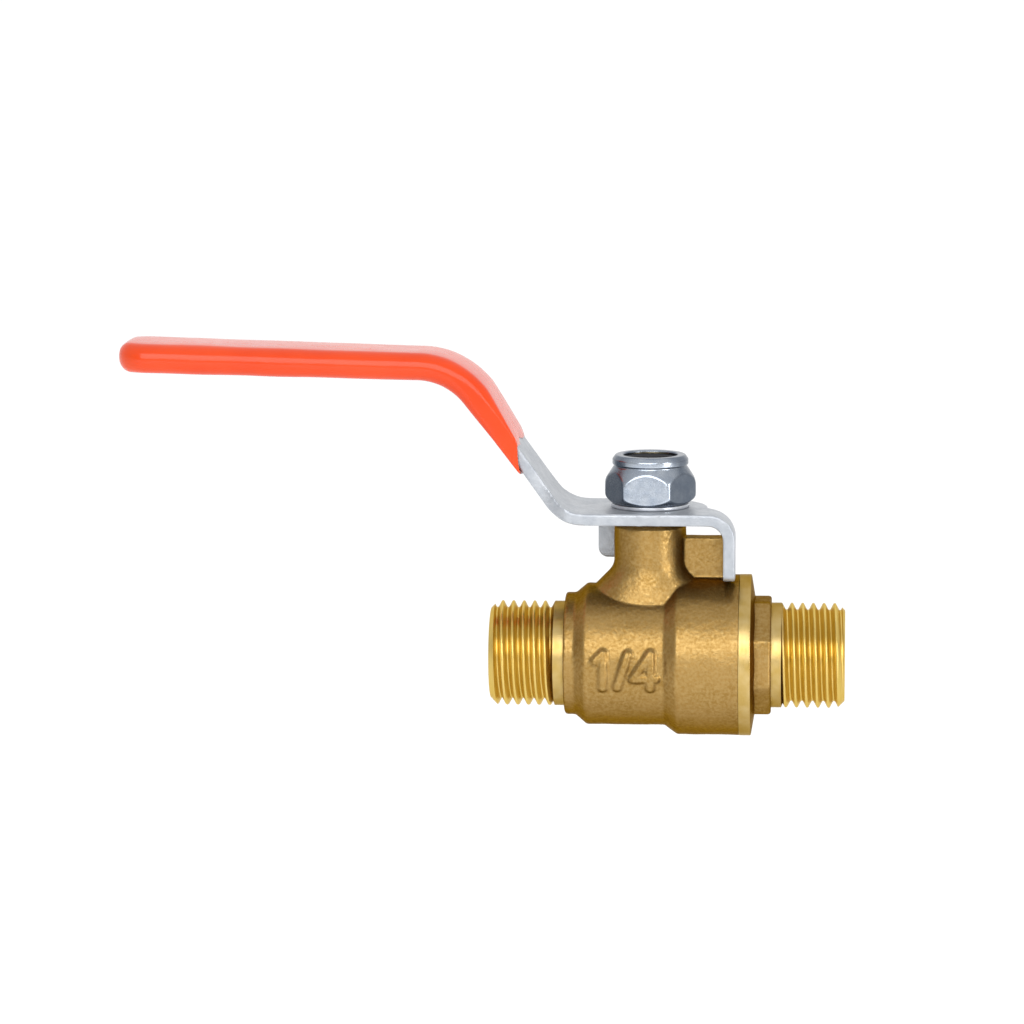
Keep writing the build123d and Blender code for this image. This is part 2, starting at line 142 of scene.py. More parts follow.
def stack_rings(name, rings, place, closed):
    """A solid skinned over rings of points, each given as (station, radius at every angle).

    A closed stack joins its last ring to its first, for a part with a hole; an open one ends in
    a point on the axis at both ends.
    """
    count = max(len(radii) for station, radii in rings)
    points, rows, faces = [], [], []
    for station, radii in rings:
        rows.append([len(points) + i for i in range(len(radii))])
        for i, radius in enumerate(radii):
            points.append(place(station, radius, 2 * pi * i / count))
    pairs = list(zip(rows, rows[1:]))
    if closed:
        pairs.append((rows[-1], rows[0]))
    for lower, upper in pairs:
        for i in range(count):
            j = (i + 1) % count
            corners = [lower[i % len(lower)], lower[j % len(lower)],
                       upper[j % len(upper)], upper[i % len(upper)]]
            faces.append(list(dict.fromkeys(corners)))
    return new_object(name, points, faces)


def soften(corners, steps=5):
    """Points of an outline of (a, b, radius) corners, each corner rounded to its radius."""
    points = []
    for index, (a, b, radius) in enumerate(corners):
        here = Vector((a, b))
        if not radius or index in (0, len(corners) - 1):
            points.append((a, b))
            continue
        back = (Vector(corners[index - 1][:2]) - here).normalized()
        ahead = (Vector(corners[index + 1][:2]) - here).normalized()
        half = back.angle(ahead) / 2
        centre = here + (back + ahead).normalized() * radius / sin(half)
        start = here + back * radius / tan(half) - centre
        sweep = start.angle_signed(here + ahead * radius / tan(half) - centre)
        for step in range(steps + 1):
            turned = start.copy()
            turned.rotate(Matrix.Rotation(-sweep * step / steps, 2))
            points.append(tuple(centre + turned))
    return points


def lathe(name, corners, place=along_x, closed=True, count=ROUND):
    """A turned solid from an outline of (station, radius, corner radius)."""
    rings = []
    for station, radius in soften(corners):
        rings.append((station, [radius] * count if radius > 0 else [0.0]))
    return stack_rings(name, rings, place, closed)


def box(name, low, high):
    """A plain block, used only as a cutter or as raw stock."""
    xs, ys, zs = zip(low, high)
    points = [(x, y, z) for x in xs for y in ys for z in zs]
    faces = [(0, 1, 3, 2), (4, 6, 7, 5), (0, 4, 5, 1), (2, 3, 7, 6), (0, 2, 6, 4), (1, 5, 7, 3)]
    return new_object(name, points, faces)


def soft_min(a, b, softness):
    """The smaller of two lengths, blended over softness where they cross."""
    mix = max(softness - abs(a - b), 0) / softness
    return min(a, b) - mix * mix * softness / 4


def polygon_radii(flats, sides, turn, count=ROUND):
    """Distance from the axis to the faces of a regular polygon, at each angle."""
    step = 2 * pi / sides
    radii = []
    for i in range(count):
        off = (2 * pi * i / count - turn + step / 2) % step - step / 2
        radii.append(flats / 2 / cos(off))
    return radii


def keep_modified(obj):
    """Apply the object's modifiers."""
    shape = obj.evaluated_get(bpy.context.evaluated_depsgraph_get())
    mesh = bpy.data.meshes.new_from_object(shape)
    obj.modifiers.clear()
    obj.data = mesh
    return obj


def combine(base, other, operation):
    """Union, difference or intersection of two closed meshes, kept in base."""
    step = base.modifiers.new("combine", "BOOLEAN")
    step.solver = "MANIFOLD"
    step.operation = operation
    step.object = other
    keep_modified(base)
    bpy.data.objects.remove(other)
    return base


def join(base, *others):
    """Put the others' meshes into base, overlapping, for a remesh to fuse."""
    work = bmesh.new()
    for obj in (base, *others):
        work.from_mesh(obj.data)
    work.to_mesh(base.data)
    work.free()
    for obj in others:
        bpy.data.objects.remove(obj)
    return base


def remesh(obj, voxel, smoothing):
    """Rebuild the skin from voxels and smooth it, which softens every edge as a forging's are."""
    skin = obj.modifiers.new("skin", "REMESH")
    skin.mode = "VOXEL"
    skin.voxel_size = voxel
    soft = obj.modifiers.new("soft", "SMOOTH")
    soft.iterations = smoothing
    soft.factor = 0.5
    return keep_modified(obj)


def vertices_of(obj):
    """The mesh's points as rows of an array."""
    points = np.empty(len(obj.data.vertices) * 3, np.float32)
    obj.data.vertices.foreach_get("co", points)
    return points.reshape(-1, 3)


def set_vertices(obj, points):
    obj.data.vertices.foreach_set("co", points.astype(np.float32).ravel())
    obj.data.update()


def ripple(obj, per_mm, depth):
    """Small unevenness of a forged or stamped skin, pressed in along the vertex normals."""
    points = vertices_of(obj)
    normals = np.empty(points.size, np.float32)
    obj.data.vertices.foreach_get("normal", normals)
    push = np.array([noise.noise(Vector(p) * per_mm) - 1 for p in points])
    set_vertices(obj, points + normals.reshape(-1, 3) * push[:, None] * depth / 2)


def drop_slivers(obj, reach=0.004):
    """Merge points closer than reach and drop the thin faces that cutting leaves behind."""
    work = bmesh.new()
    work.from_mesh(obj.data)
    bmesh.ops.remove_doubles(work, verts=work.verts, dist=reach)
    bmesh.ops.dissolve_degenerate(work, edges=work.edges, dist=reach)
    bmesh.ops.triangulate(work, faces=[face for face in work.faces if len(face.verts) > 4])
    work.to_mesh(obj.data)
    work.free()


def finish_piece(obj, body, materials, replaced, rule=None, crease=40):
    """Scale to metres, shade, give its materials, tie the piece to its body and hide the CAD node it
    replaces.

    rule gives each face's material number from the face centres, in millimetres.
    """
    drop_slivers(obj)
    mesh = obj.data
    mesh.materials.clear()
    for material in materials:
        mesh.materials.append(material)
    if rule:
        centres = np.empty(len(mesh.polygons) * 3, np.float32)
        mesh.polygons.foreach_get("center", centres)
        mesh.polygons.foreach_set("material_index", rule(centres.reshape(-1, 3)).astype(np.int32))
    mesh.transform(Matrix.Scale(MM, 4))
    mesh.shade_smooth()
    mesh.set_sharp_from_angle(angle=radians(crease))
    mesh.update()
    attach(obj, body)
    if replaced:
        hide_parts(replaced)
    return obj


# ---- materials -----------------------------------------------------------------------------------


CORNER_SHADE_REACH = 1.5              # how far round a point its openness is measured, for the painted shade in corners
CORNER_SHADE_DARKEST, CORNER_SHADE_CLEAR = 0.15, 0.62   # openness at which the painted corner shade is darkest, and at which it stops


class Nodes:
    """Builds one node material, with texture coordinates in millimetres."""

    def __init__(self, name, **values):
        self.material = bpy.data.materials.new(name)
        self.material.use_nodes = True
        self.tree = self.material.node_tree
        self.shader = next(n for n in self.tree.nodes if n.type == "BSDF_PRINCIPLED")
        for socket, value in values.items():
            self.shader.inputs[socket.replace("_", " ")].default_value = value
        place = self.add("ShaderNodeTexCoord")
        scale = self.add("ShaderNodeMapping")
        scale.inputs["Scale"].default_value = (1 / MM,) * 3
        self.link(place.outputs["Object"], scale.inputs["Vector"])
        self.position = scale.outputs["Vector"]

    def add(self, kind, **settings):
        node = self.tree.nodes.new(kind)
        for key, value in settings.items():
            setattr(node, key, value)
        return node

    def link(self, source, target):
        self.tree.links.new(source, target)

    def stretched(self, x, y, z):
        """Texture coordinates scaled unevenly, to draw a noise out into lines."""
        node = self.add("ShaderNodeMapping")
        node.inputs["Scale"].default_value = (x, y, z)
        self.link(self.position, node.inputs["Vector"])
        return node.outputs["Vector"]

    def noise(self, per_mm, detail=3.0, roughness=0.5, where=None):
        """Cloudy noise from 0 to 1, with per_mm spots to the millimetre."""
        node = self.add("ShaderNodeTexNoise")
        node.inputs["Scale"].default_value = per_mm
        node.inputs["Detail"].default_value = detail
        node.inputs["Roughness"].default_value = roughness
        self.link(where or self.position, node.inputs["Vector"])
        return node.outputs["Fac"]

    def span(self, value, low, high, to_low, to_high):
        """Map value from low..high to to_low..to_high, clamped."""
        node = self.add("ShaderNodeMapRange")
        limits = {"From Min": low, "From Max": high, "To Min": to_low, "To Max": to_high}
        for socket, number in limits.items():
            node.inputs[socket].default_value = number
        self.link(value, node.inputs["Value"])
        return node.outputs["Result"]

    def mix(self, amount, first, second):
        """Blend two colours, each a colour or a socket."""
        node = self.add("ShaderNodeMix", data_type="RGBA")
        self.link(amount, node.inputs["Factor"])
        for index, colour in ((6, first), (7, second)):
            if isinstance(colour, tuple):
                node.inputs[index].default_value = (*colour, 1.0)
            else:
                self.link(colour, node.inputs[index])
        return node.outputs[2]

    def paint_shade(self, colour, start, end, shade_colour):
        """Paint shade into a colour: darker in corners, by ambient occlusion, and towards grazing angles
        from start to end of the facing scale.
        """
        # painted shade: the colour darkens towards grazing angles
        facing = self.add("ShaderNodeLayerWeight").outputs["Facing"]
        shade = self.mix(self.span(facing, start, end, 0, 1), (1.0, 1.0, 1.0), shade_colour)
        # painted shade: the colour darkens in corners and between parts
        corner = self.add("ShaderNodeAmbientOcclusion", samples=4)
        corner.inputs["Distance"].default_value = CORNER_SHADE_REACH * MM
        shade = self.mix(self.span(corner.outputs["AO"], CORNER_SHADE_DARKEST, CORNER_SHADE_CLEAR, 1, 0), shade, shade_colour)
        product = self.add("ShaderNodeVectorMath", operation="MULTIPLY")
        self.link(colour, product.inputs[0])
        self.link(shade, product.inputs[1])
        return product.outputs["Vector"]

    def colour(self, source):
        self.link(source, self.shader.inputs["Base Color"])

    def roughness(self, source):
        self.link(source, self.shader.inputs["Roughness"])

    def bump(self, *layers):
        """Stack (height source, depth in mm) layers of relief."""
        below = None
        for height, depth in layers:
            node = self.add("ShaderNodeBump")
            node.inputs["Distance"].default_value = depth * MM
            self.link(height, node.inputs["Height"])
            if below:
                self.link(below, node.inputs["Normal"])
            below = node.outputs["Normal"]
        self.link(below, self.shader.inputs["Normal"])


FORGED_TINT = (0.72, 0.56, 0.30, 1.0)   # of the brass's reflections at grazing angles
CUT_TINT = (0.85, 0.72, 0.45, 1.0)


def forged_brass():
    """Satin brass with a blasted, speckled skin."""
    n = Nodes("forged_brass", Metallic=1.0, Specular_Tint=FORGED_TINT)
    cloud = n.noise(0.25, 2.0)
    speckle = n.noise(2.6, 3.0, 0.55)
    base = n.mix(n.span(cloud, 0.35, 0.65, 0, 1), (0.270, 0.157, 0.040), (0.325, 0.197, 0.060))
    base = n.mix(n.span(speckle, 0.35, 0.7, 0, 1), base, (0.365, 0.240, 0.088))
    # painted shade: the forged brass darkens in corners and towards grazing angles
    n.colour(n.paint_shade(base, 0.15, 0.85, (0.36, 0.27, 0.17)))
    n.roughness(n.span(speckle, 0.3, 0.7, 0.48, 0.34))
    n.bump((n.noise(0.7, 2.0), 0.09), (speckle, 0.034), (n.noise(9.0, 2.0), 0.010))
    return n.material


def machined_brass():
    """Bright turned brass with fine tool lines round the pipe axis."""
    n = Nodes("machined_brass", Metallic=1.0, Specular_Tint=CUT_TINT)
    lines = n.noise(1.0, 3.0, 0.6, where=n.stretched(9.0, 0.15, 0.15))
    cloud = n.noise(0.5, 2.0)
    base = n.mix(n.span(cloud, 0.35, 0.7, 0, 1), (0.44, 0.30, 0.090), (0.52, 0.385, 0.165))
    # painted shade: the turned brass darkens in corners and towards grazing angles
    n.colour(n.paint_shade(base, 0.15, 0.85, (0.45, 0.36, 0.22)))
    n.roughness(n.span(lines, 0.3, 0.7, 0.28, 0.40))
    n.bump((lines, 0.008))
    return n.material


def thread_brass():
    """Cut brass thread: a deeper gold, with fine lines along the groove."""
    n = Nodes("thread_brass", Metallic=1.0, Specular_Tint=CUT_TINT)
    lines = n.noise(1.0, 2.0, 0.6, where=n.stretched(7.0, 0.2, 0.2))
    n.colour(n.mix(n.span(lines, 0.3, 0.7, 0, 1), (0.55, 0.39, 0.095), (0.67, 0.50, 0.17)))
    n.roughness(n.span(lines, 0.3, 0.7, 0.26, 0.38))
    n.bump((lines, 0.006))
    return n.material


def zinc_sheet():
    """Pale zinc plate on stamped steel, slightly mottled."""
    n = Nodes("zinc_sheet", Metallic=0.6)
    cloud = n.noise(0.45, 4.0, 0.6)
    grain = n.noise(3.5, 3.0, 0.6)
    base = n.mix(n.span(cloud, 0.35, 0.65, 0, 1), (0.33, 0.352, 0.385), (0.42, 0.44, 0.468))
    n.colour(base)
    n.roughness(n.span(grain, 0.3, 0.7, 0.46, 0.30))
    n.bump((cloud, 0.07), (n.noise(1.3, 2.0), 0.035), (grain, 0.025))
    return n.material


def zinc_nut():
    """Bluish bright zinc plate on a cold-formed nut."""
    n = Nodes("zinc_nut", Metallic=1.0)
    cloud = n.noise(0.8, 3.0)
    grain = n.noise(6.0, 2.0)
    base = n.mix(n.span(cloud, 0.3, 0.7, 0, 1), (0.325, 0.37, 0.44), (0.445, 0.485, 0.54))
    # painted shade: the nut's faces darken towards grazing angles and in corners
    n.colour(n.paint_shade(base, 0.1, 0.4, (0.34, 0.36, 0.385)))
    n.roughness(n.span(grain, 0.3, 0.7, 0.30, 0.18))
    n.bump((cloud, 0.03), (grain, 0.004))
    return n.material


def orange_vinyl():
    """Glossy dipped vinyl with a faint orange-peel surface."""
    n = Nodes("orange_vinyl", Specular_IOR_Level=0.3)
    cloud = n.noise(0.12, 2.0)
    peel = n.noise(0.9, 2.0)
    n.colour(n.mix(n.span(cloud, 0.3, 0.7, 0, 1), (0.58, 0.042, 0.005), (0.64, 0.057, 0.009)))
    n.roughness(n.span(peel, 0.3, 0.7, 0.15, 0.21))
    n.bump((n.noise(0.25, 1.0), 0.05), (peel, 0.0015))
    return n.material


def plain(name, dark, light, low, high, metallic=0.0, per_mm=2.0):
    """A simple finish for the small and hidden pieces, with slight colour and gloss variation."""
    n = Nodes(name, Metallic=metallic)
    grain = n.noise(per_mm, 3.0)
    n.colour(n.mix(n.span(grain, 0.3, 0.7, 0, 1), dark, light))
    n.roughness(n.span(grain, 0.3, 0.7, low, high))
    n.bump((grain, 0.01))
    return n.material


FORGED = forged_brass()
MACHINED = machined_brass()
THREAD = thread_brass()
SHEET_ZINC = zinc_sheet()
NUT_ZINC = zinc_nut()
VINYL = orange_vinyl()
STEM_BRASS = plain("turned_brass", (0.42, 0.29, 0.09), (0.52, 0.37, 0.13), 0.30, 0.42, 1.0)
PLATED = plain("plated_ball", (0.70, 0.71, 0.72), (0.82, 0.83, 0.84), 0.05, 0.10, 1.0)
SEAT = plain("seat_polymer", (0.78, 0.78, 0.76), (0.90, 0.90, 0.88), 0.45, 0.60)
RUBBER = plain("o_ring_rubber", (0.012, 0.012, 0.012), (0.03, 0.03, 0.03), 0.55, 0.75)
INSERT = plain("insert_polymer", (0.004, 0.005, 0.008), (0.012, 0.013, 0.018), 0.5, 0.65)
WASHER_ZINC = plain("zinc_washer", (0.50, 0.52, 0.56), (0.62, 0.64, 0.67), 0.28, 0.42, 0.8, 0.8)

# ---- pipe threads --------------------------------------------------------------------------------


def thread_section():
    """One pitch of the thread, as (share of a pitch, radius) points with rounded crest and root."""
    flat = THREAD_PITCH / 12
    root, crest = THREAD_MINOR_R, THREAD_MAJOR_R
    half = THREAD_PITCH / 2
    corners = [
        (0.0, crest, 0),
        (flat, crest, THREAD_ROUNDING),
        (half - flat, root, THREAD_ROUNDING),
        (half + flat, root, THREAD_ROUNDING),
        (2 * half - flat, crest, THREAD_ROUNDING),
        (2 * half, crest, 0),
    ]
    return [(a / THREAD_PITCH, b) for a, b in soften(corners, 3)][:-1]


def threaded_rod(name, crest_on_top, start, end):
    """A long right-hand helical rod whose crest passes over the top of the pipe at crest_on_top."""
    section = thread_section()
    rows_per_turn = len(section)
    first = crest_on_top - THREAD_PITCH * ceil((crest_on_top - start) / THREAD_PITCH + 1)
    turns = ceil((end - first) / THREAD_PITCH) + 1
    rows = rows_per_turn * turns + 1
    points, faces = [], []
    for row in range(rows):
        share, radius = section[row % rows_per_turn]
        base = first + THREAD_PITCH * (row // rows_per_turn + share)
        for i in range(ROUND):
            points.append(along_x(base + THREAD_PITCH * i / ROUND, radius, 2 * pi * i / ROUND))

    def vertex(row, i):
        """A point's number. A full turn on, the helix is one pitch, so rows_per_turn rows, further."""
        return (row + rows_per_turn) * ROUND if i == ROUND else row * ROUND + i

    for row in range(rows - 1):
        for i in range(ROUND):
            if i < ROUND - 1 or row + 1 + rows_per_turn < rows:
                lower = [vertex(row, i), vertex(row, i + 1)]
                upper = [vertex(row + 1, i + 1), vertex(row + 1, i)]
                faces.append(lower + upper)
    # both ends are closed by fans to a point on the axis
    near_loop = [vertex(0, i) for i in range(ROUND)]
    near_loop += [vertex(row, 0) for row in range(rows_per_turn, 0, -1)]
    last = rows - 1
    far_loop = [vertex(last, i) for i in range(ROUND)]
    far_loop += [vertex(row, ROUND - 1) for row in range(last - 1, last - rows_per_turn - 1, -1)]
    for loop, station in ((near_loop, first), (far_loop, first + THREAD_PITCH * turns)):
        hub = len(points)
        points.append((station, 0.0, 0.0))
        for a, b in zip(loop, loop[1:] + loop[:1]):
            faces.append([a, b, hub])
    return new_object(name, points, faces)


def threaded_end(name, end, shoulder, thread_stop, crest_on_top):
    """A pipe end: helical thread from the end to thread_stop, then plain to the shoulder."""
    outward = 1 if end > shoulder else -1
    blank = lathe(name, [
        (shoulder, 0, 0),
        (shoulder, THREAD_MAJOR_R, 0),
        (end - outward * THREAD_END_CHAMFER, THREAD_MAJOR_R, 0.3),
        (end, THREAD_MAJOR_R - THREAD_END_CHAMFER, 0.12),
        (end, 0, 0),
    ], closed=False)
    span = sorted((end, thread_stop))
    rod = threaded_rod(name + "_rod", crest_on_top, span[0], span[1])
    # past the thread the rod is made thick, so that it leaves the plain shank whole
    sleeve = lathe(name + "_shank", [
        (thread_stop, 0, 0),
        (thread_stop, THREAD_MINOR_R, 0),
        (thread_stop - outward * RUN_OUT_CONE, THREAD_MAJOR_R + SHANK_SPARE, 0),
        (shoulder - outward, THREAD_MAJOR_R + SHANK_SPARE, 0),
        (shoulder - outward, 0, 0),
    ], closed=False)
    combine(rod, sleeve, "UNION")
    return combine(blank, rod, "INTERSECT")


# ---- body ----------------------------------------------------------------------------------------

DIGIT_STROKES = (
    # the nominal size 1/4: strokes in (millimetres along the pipe, millimetres up the barrel)
    ((-6.45, 3.7), (-5.55, 4.6), (-5.55, 0.3)),
    ((-2.45, 4.5), (-3.75, 0.4)),
    ((0.35, 0.3), (0.35, 4.6), (-1.75, 1.5), (0.95, 1.5)),
)
DIGIT_HEIGHT = 0.43             # of the relief
DIGIT_HALF_WIDTH = 0.95
DIGIT_FLAT = 1.2                # more than 1 gives the strokes a flat top
DIGIT_MIDDLE = radians(-4)      # the figures' middle, a little below the pipe axis on the near side
DIGIT_TALL = 4.9

STOCK = 1.0                     # spare length left on the forging for the machined faces
FORGING_VOXEL, FORGING_SMOOTHING = 0.12, 3
FORGING_RIPPLES = ((0.45, 0.07), (1.6, 0.024))   # (waves per millimetre, depth)


def distance_to_stroke(points, stroke):
    """Distance of 2-D points from a line of straight pieces."""
    best = np.full(len(points), 1e9)
    for start, end in zip(stroke, stroke[1:]):
        start, end = np.array(start), np.array(end)
        piece = end - start
        share = np.clip(((points - start) @ piece) / (piece @ piece), 0, 1)
        best = np.minimum(best, np.linalg.norm(points - (start + share[:, None] * piece), axis=1))
    return best


def raise_digits(obj):
    """Raise the soft forged size figure on the near side of the barrel."""
    points = vertices_of(obj)
    x, y, z = points.T
    radius = np.hypot(y, z)
    height = np.arctan2(z, -y)
    flat = np.stack([x, (height - DIGIT_MIDDLE) * BARREL_R + DIGIT_TALL / 2], 1)
    apart = np.full(len(points), 1e9)
    for stroke in DIGIT_STROKES:
        apart = np.minimum(apart, distance_to_stroke(flat, stroke))
    ease = np.clip(DIGIT_FLAT * (1 - apart / DIGIT_HALF_WIDTH), 0, 1)
    ease = ease * ease * (3 - 2 * ease)
    on_barrel = (radius > BARREL_R - 0.5) & (y < 0)
    grow = np.where(on_barrel, 1 + DIGIT_HEIGHT * ease / np.maximum(radius, 1), 1)
    points[:, 1] *= grow
    points[:, 2] *= grow
    set_vertices(obj, points)


def make_neck():
    """The neck on its flared oval foot, with spare stock at the top."""
    flare = NECK_FLARE_TOP - NECK_FOOT
    angles = [2 * pi * i / ROUND for i in range(ROUND)]

    def oval(half_x, half_y):
        return [1 / sqrt((cos(a) / half_x) ** 2 + (sin(a) / half_y) ** 2) for a in angles]

    top_r = NECK_R - 0.7 * (NECK_CHAMFER + STOCK)
    root = NECK_FOOT - 4        # inside the barrel
    rings = [(root, [0.0]), (root, oval(NECK_R + flare, NECK_FOOT_DEPTH_R))]
    steps = 16
    for step in range(steps + 1):
        # the flare runs into the straight neck in a soft curve
        height = NECK_FOOT + (flare + FLARE_BLEND) * step / steps
        left = -soft_min(height - NECK_FLARE_TOP, 0, FLARE_BLEND)
        rings.append((height, oval(NECK_R + left, NECK_R + left * (NECK_FOOT_DEPTH_R - NECK_R) / flare)))
    rings += [
        (NECK_TOP - NECK_CHAMFER, oval(NECK_R, NECK_R)),
        (NECK_TOP + STOCK, oval(top_r, top_r)),
        (NECK_TOP + STOCK, [0.0]),
    ]
    return stack_rings("neck", rings, along_z, closed=False)


def make_forging():
    """The raw forging: collar, barrel, chamber, neck and stop lug in one soft-edged skin."""
    forging = lathe("forged_body", [
        (COLLAR_START, 0, 0),
        (COLLAR_START, COLLAR_R, 0.35),
        (COLLAR_END, COLLAR_R, 0.5),
        (BARREL_START, BARREL_R, 0.8),
        (STEP_START, BARREL_R, 0.25),
        (STEP_END, CHAMBER_R, 0.9),
        (BODY_FACE + STOCK, CHAMBER_R, 0),
        (BODY_FACE + STOCK, 0, 0),
    ], closed=False)
    lug = box("lug", (0, -LUG_THICKNESS / 2, 0), (LUG_END, LUG_THICKNESS / 2, LUG_TOP))
    join(forging, make_neck(), lug)
    remesh(forging, FORGING_VOXEL, FORGING_SMOOTHING)
    raise_digits(forging)
    for per_mm, depth in FORGING_RIPPLES:
        ripple(forging, per_mm, depth)
    return forging


def face_ends(forging):
    """Machine the spare stock off the chamber's end and the neck's top."""
    wide, narrow = 20, 8        # past the chamber and past the neck, all round
    waste = 2 * STOCK
    end = box("end", (BODY_FACE, -wide, -wide), (BODY_FACE + waste, wide, wide))
    combine(forging, end, "DIFFERENCE")
    top = box("top", (-narrow, -narrow, NECK_TOP), (narrow, narrow, NECK_TOP + waste))
    combine(forging, top, "DIFFERENCE")


def bore_body(forging):
    """Cut the flow bore, the seat pocket, the ball room, the spigot room and the stem bore."""
    rooms = lathe("rooms", [
        (INLET_END - 1, 0, 0),
        (INLET_END - 1, FLOW_R + BORE_CHAMFER + 1, 0),
        (INLET_END + BORE_CHAMFER, FLOW_R, 0),
        (-SEAT_BACK, FLOW_R, 0),
        (-SEAT_BACK, SEAT_ROOM_R, 0),
        (-SEAT_FRONT, SEAT_ROOM_R, 0),
        (-SEAT_FRONT, BALL_ROOM_R, 0),
        (SPIGOT_END - FIT_GAP, BALL_ROOM_R, 0),
        (SPIGOT_END - FIT_GAP, SPIGOT_R + FIT_GAP, 0),
        (BODY_FACE + 1, SPIGOT_R + FIT_GAP, 0),
        (BODY_FACE + 1, 0, 0),
    ], closed=False)
    combine(forging, rooms, "DIFFERENCE")
    stem_room = lathe("stem_room", [
        (0, 0, 0),
        (0, COLLAR_ROOM_R, 0),
        (COLLAR_ROOM_TOP, COLLAR_ROOM_R, 0),
        (COLLAR_ROOM_TOP, STEM_BORE_R, 0),
        (NECK_TOP + 1, STEM_BORE_R, 0),
        (NECK_TOP + 1, 0, 0),
    ], along_z, closed=False)
    combine(forging, stem_room, "DIFFERENCE")


def make_body():
    """The forged body with its machined ends, inlet thread and bores."""
    forging = make_forging()
    face_ends(forging)
    thread_stop = COLLAR_START - THREAD_RUN_OUT
    inlet = threaded_end("inlet", INLET_END, COLLAR_START + 1, thread_stop, INLET_CREST)
    combine(forging, inlet, "UNION")
    bore_body(forging)

    def finish_of(centres):
        """0 on the forged skin, 1 on turned and bored faces, 2 on the thread."""
        x, y, z = centres.T
        from_pipe = np.hypot(y, z)
        bored = (from_pipe < SPIGOT_R + 0.1) & (x > -SEAT_BACK - 0.1) & (z < NECK_FOOT)
        stem_bore = (np.hypot(x, y) < STEM_BORE_R + 0.5) & (z > 0)
        turned = (x < COLLAR_START - 0.01) | (z > NECK_TOP - 0.01) | bored | stem_bore
        threaded = (x < thread_stop) & (from_pipe > THREAD_MINOR_R - 0.05)
        return np.where(threaded, 2, turned)

    return finish_piece(forging, "valve_body", [FORGED, MACHINED, THREAD], "body", finish_of)


# ---- end connector -------------------------------------------------------------------------------


def make_octagon():
    """The wrench octagon, with its outer edge rounded over."""
    faces = polygon_radii(WRENCH_FLATS, 8, 0)
    corner_r = WRENCH_FLATS / 2 / cos(pi / 8)
    root = FLANGE_END - 1       # inside the flange
    rings = [(root, [0.0])]
    for station, cut in ((root, 0), (WRENCH_END - 0.35, 0), (WRENCH_END - 0.12, 0.08), (WRENCH_END, 0.28)):
        rings.append((station, [soft_min(radius, corner_r, 0.5) - cut for radius in faces]))
    rings.append((WRENCH_END, [0.0]))
    return stack_rings("octagon", rings, along_x, closed=False)


def make_connector():
    """The end connector: spigot, flange, octagon and outlet thread."""
    flange = lathe("outlet_connector", [
        (SPIGOT_END, 0, 0),
        (SPIGOT_END, SPIGOT_R, 0.2),
        (BODY_FACE, SPIGOT_R, 0),
        (BODY_FACE, CHAMBER_R, 0.12),
        (FLANGE_END, CHAMBER_R, 0.12),
        (WRENCH_START, WRENCH_FLATS / 2, 0),
        (WRENCH_START + 0.5, 0, 0),
    ], closed=False)
    combine(flange, make_octagon(), "UNION")
    thread_stop = WRENCH_END + THREAD_RUN_OUT
    thread = threaded_end("outlet", OUTLET_END, WRENCH_END - 1, thread_stop, OUTLET_CREST)
    combine(flange, thread, "UNION")
    rooms = lathe("rooms", [
        (SPIGOT_END - 1, 0, 0),
        (SPIGOT_END - 1, SEAT_ROOM_R, 0),
        (SEAT_BACK, SEAT_ROOM_R, 0),
        (SEAT_BACK, FLOW_R, 0),
        (OUTLET_END - BORE_CHAMFER, FLOW_R, 0),
        (OUTLET_END + 1, FLOW_R + BORE_CHAMFER + 1, 0),
        (OUTLET_END + 1, 0, 0),
    ], closed=False)
    combine(flange, rooms, "DIFFERENCE")

    def finish_of(centres):
        """0 on turned faces, 1 on the octagon, which is left as forged, 2 on the thread."""
        x, y, z = centres.T
        from_pipe = np.hypot(y, z)
        wrench = (x > FLANGE_END + 0.02) & (x < WRENCH_END + 0.02) & (from_pipe > THREAD_MAJOR_R + 0.2)
        threaded = (x > thread_stop) & (from_pipe > THREAD_MINOR_R - 0.05)
        return np.where(threaded, 2, wrench)

    return finish_piece(flange, "valve_body", [MACHINED, FORGED, THREAD],
                        "end_connector", finish_of)


# ---- lever ---------------------------------------------------------------------------------------


SHEET_VOXEL, SHEET_SMOOTHING = 0.15, 5
SHEET_WAVES, SHEET_RIPPLE = 0.35, 0.03   # waves per millimetre, and their depth


def make_lever():
    """The stamped lever: the CAD node's shape, with the soft edges of a blanked and plated sheet."""
    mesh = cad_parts["lever"].data.copy()
    mesh.transform(Matrix.Scale(1 / MM, 4))
    lever = bpy.data.objects.new("stamped_lever", mesh)
    bpy.context.scene.collection.objects.link(lever)
    remesh(lever, SHEET_VOXEL, SHEET_SMOOTHING)
    ripple(lever, SHEET_WAVES, SHEET_RIPPLE)
    return finish_piece(lever, "lever_assembly", [SHEET_ZINC], "lever")


# ---- grip ----------------------------------------------------------------------------------------

SLOPE = radians(54.5)           # of the arm from the hub up to the knee
RISE = radians(1.0)             # of the arm from the knee out to the tip
SLOPE_TOE_X = -10.76            # where the slope's middle line meets the hub's
KNEE_X = -24.21                 # where it meets the outer arm's
KNEE_R = 9.7
MOUTH_HALF, SLOPE_HALF, KNEE_HALF, TIP_HALF = 1.10, 1.80, 1.78, 1.95   # half heights of the coat
KNEE_SAG = 0.28                 # the coat hangs this much lower past the knee
DIP_TILT, DIP_REACH = 1.30, 0.3  # the mouth's slant against a level dip line, and its reach down the arm
MOUTH_HALF_WIDTH, GRIP_HALF_WIDTH = 5.9, 5.65
ARM_HALF_WIDTH, BLADE_HALF_WIDTH, BLADE_X = 5.5, 4.7, -30.0
TIP_CORNER_R, TIP_EDGE_R, LEVER_CORNER_R = 4.0, 1.8, 3.2
CROWN = 0.013                   # how much the section's flat sides swell, per half length
MOUTH_ROUNDING, GRIP_ROUNDING = 0.20, 0.96   # of the section's corners, as a share of its half height
